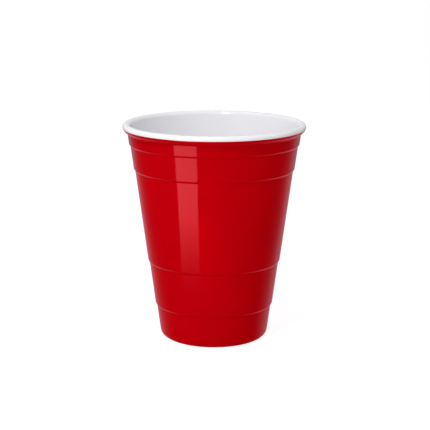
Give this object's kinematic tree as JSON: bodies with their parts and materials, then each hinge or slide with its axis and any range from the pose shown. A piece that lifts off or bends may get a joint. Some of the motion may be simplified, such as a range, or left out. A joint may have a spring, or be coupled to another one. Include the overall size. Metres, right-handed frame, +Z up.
{
  "type": "silicone party cup",
  "caption": "Tapered drinking cup moulded in one piece, with a stepped wall, a round bead at the rim and a flat foot ring; red outside, white inside.",
  "frame": {"origin": "centre of the foot ring, on the surface that the cup stands on", "axes": "+Z up along the cup's axis; the cup is round, so +X and +Y are any two level directions"},
  "size_m": [0.098, 0.098, 0.1172],
  "materials": {
    "silicone": "high gloss, smooth from a polished mould; red outside and under the rim, white inside and over the rim"
  },
  "bodies": {
    "root": {"cup": "silicone"}
  },
  "joints": []
}
